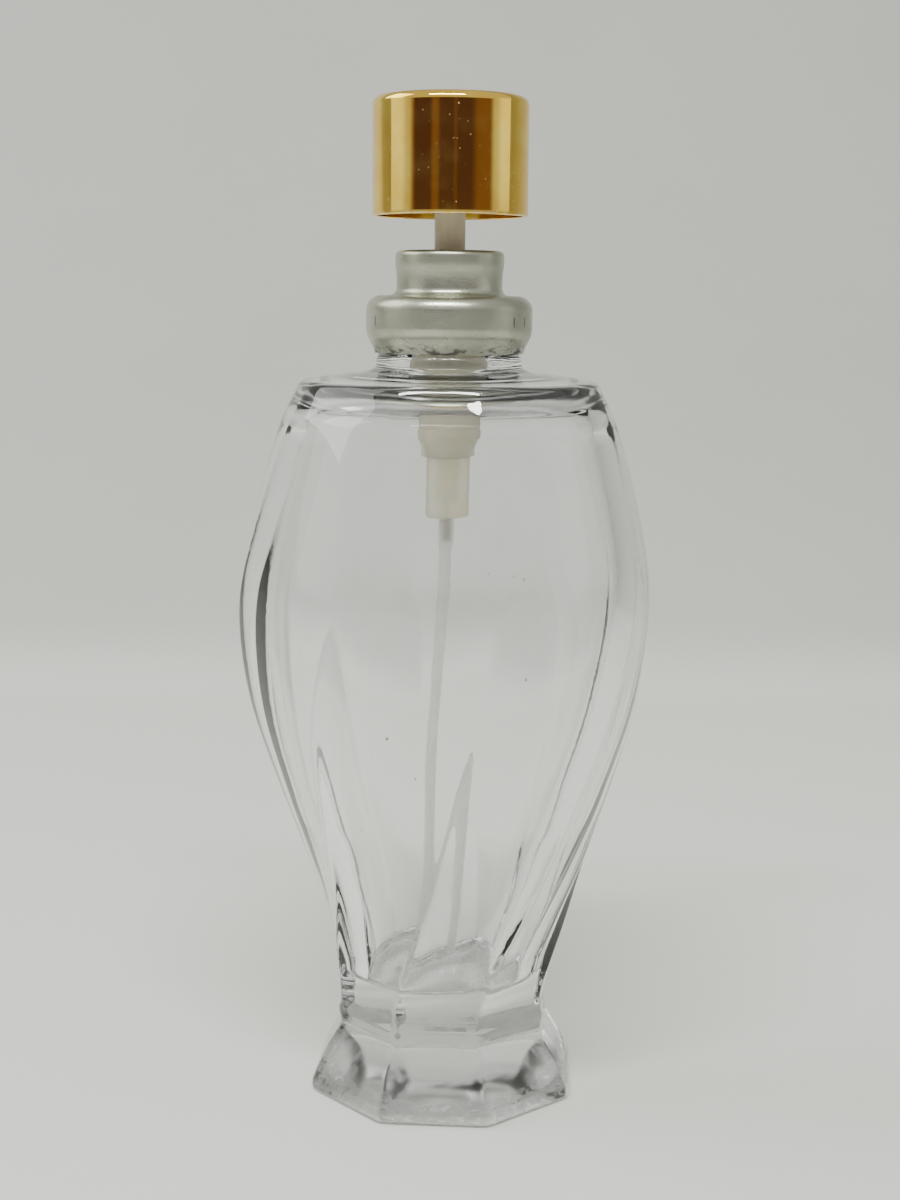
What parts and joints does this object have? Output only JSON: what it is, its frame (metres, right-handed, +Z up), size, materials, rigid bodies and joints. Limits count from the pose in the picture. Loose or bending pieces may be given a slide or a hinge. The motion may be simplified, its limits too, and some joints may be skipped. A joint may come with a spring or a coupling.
{
  "type": "perfume spray bottle",
  "caption": "Clear glass perfume bottle with twisted facets on a flared foot, a crimped metal collar, a spray pump with dip tube, and a gold press-down actuator.",
  "frame": {"origin": "centre of the foot, on the plane that the bottle stands on", "axes": "+Z up along the bottle's axis, +Y the way the spray leaves the nozzle at rest, +X to the right as seen from -Y"},
  "size_m": [0.0426, 0.0426, 0.1032],
  "materials": {
    "glass": "clear fire-polished soda-lime glass",
    "aluminium": "satin lacquered aluminium, faintly warm",
    "gold": "bright gold anodised aluminium",
    "natural_plastic": "milky natural polypropylene",
    "ivory_plastic": "ivory acetal",
    "seal": "soft grey elastomer",
    "steel": "bright stainless steel"
  },
  "bodies": {
    "bottle": {"glass_bottle": "glass", "neck_gasket": "seal", "crimp_ferrule": "aluminium", "pump_housing": "natural_plastic", "closure_collar": "natural_plastic", "stem_seal": "seal", "return_spring": "steel", "dip_tube": "natural_plastic"},
    "plunger": {"pump_stem": "ivory_plastic", "valve_pin": "natural_plastic"},
    "piston": {"pump_piston": "natural_plastic"},
    "actuator": {"actuator_button": "ivory_plastic", "actuator_shell": "gold", "nozzle_insert": "natural_plastic"},
    "inlet_valve": {"inlet_ball": "steel"}
  },
  "joints": [
    {"name": "actuator_press", "type": "slide", "parent": "bottle", "child": "plunger", "axis": [0, 0, -1], "range_m": [0, 0.0035], "stiffness_N_per_m": 1500, "springref_m": -0.004, "deforming": ["return_spring"]},
    {"name": "actuator_turn", "type": "hinge", "parent": "plunger", "child": "actuator", "pos_m": [0, 0, 0.093], "axis": [0, 0, 1], "continuous": true},
    {"name": "piston_shuttle", "type": "slide", "parent": "plunger", "child": "piston", "axis": [0, 0, 1], "range_m": [0, 0.0006]},
    {"name": "inlet_ball_lift", "type": "slide", "parent": "bottle", "child": "inlet_valve", "axis": [0, 0, 1], "range_m": [0, 0.0006]}
  ]
}
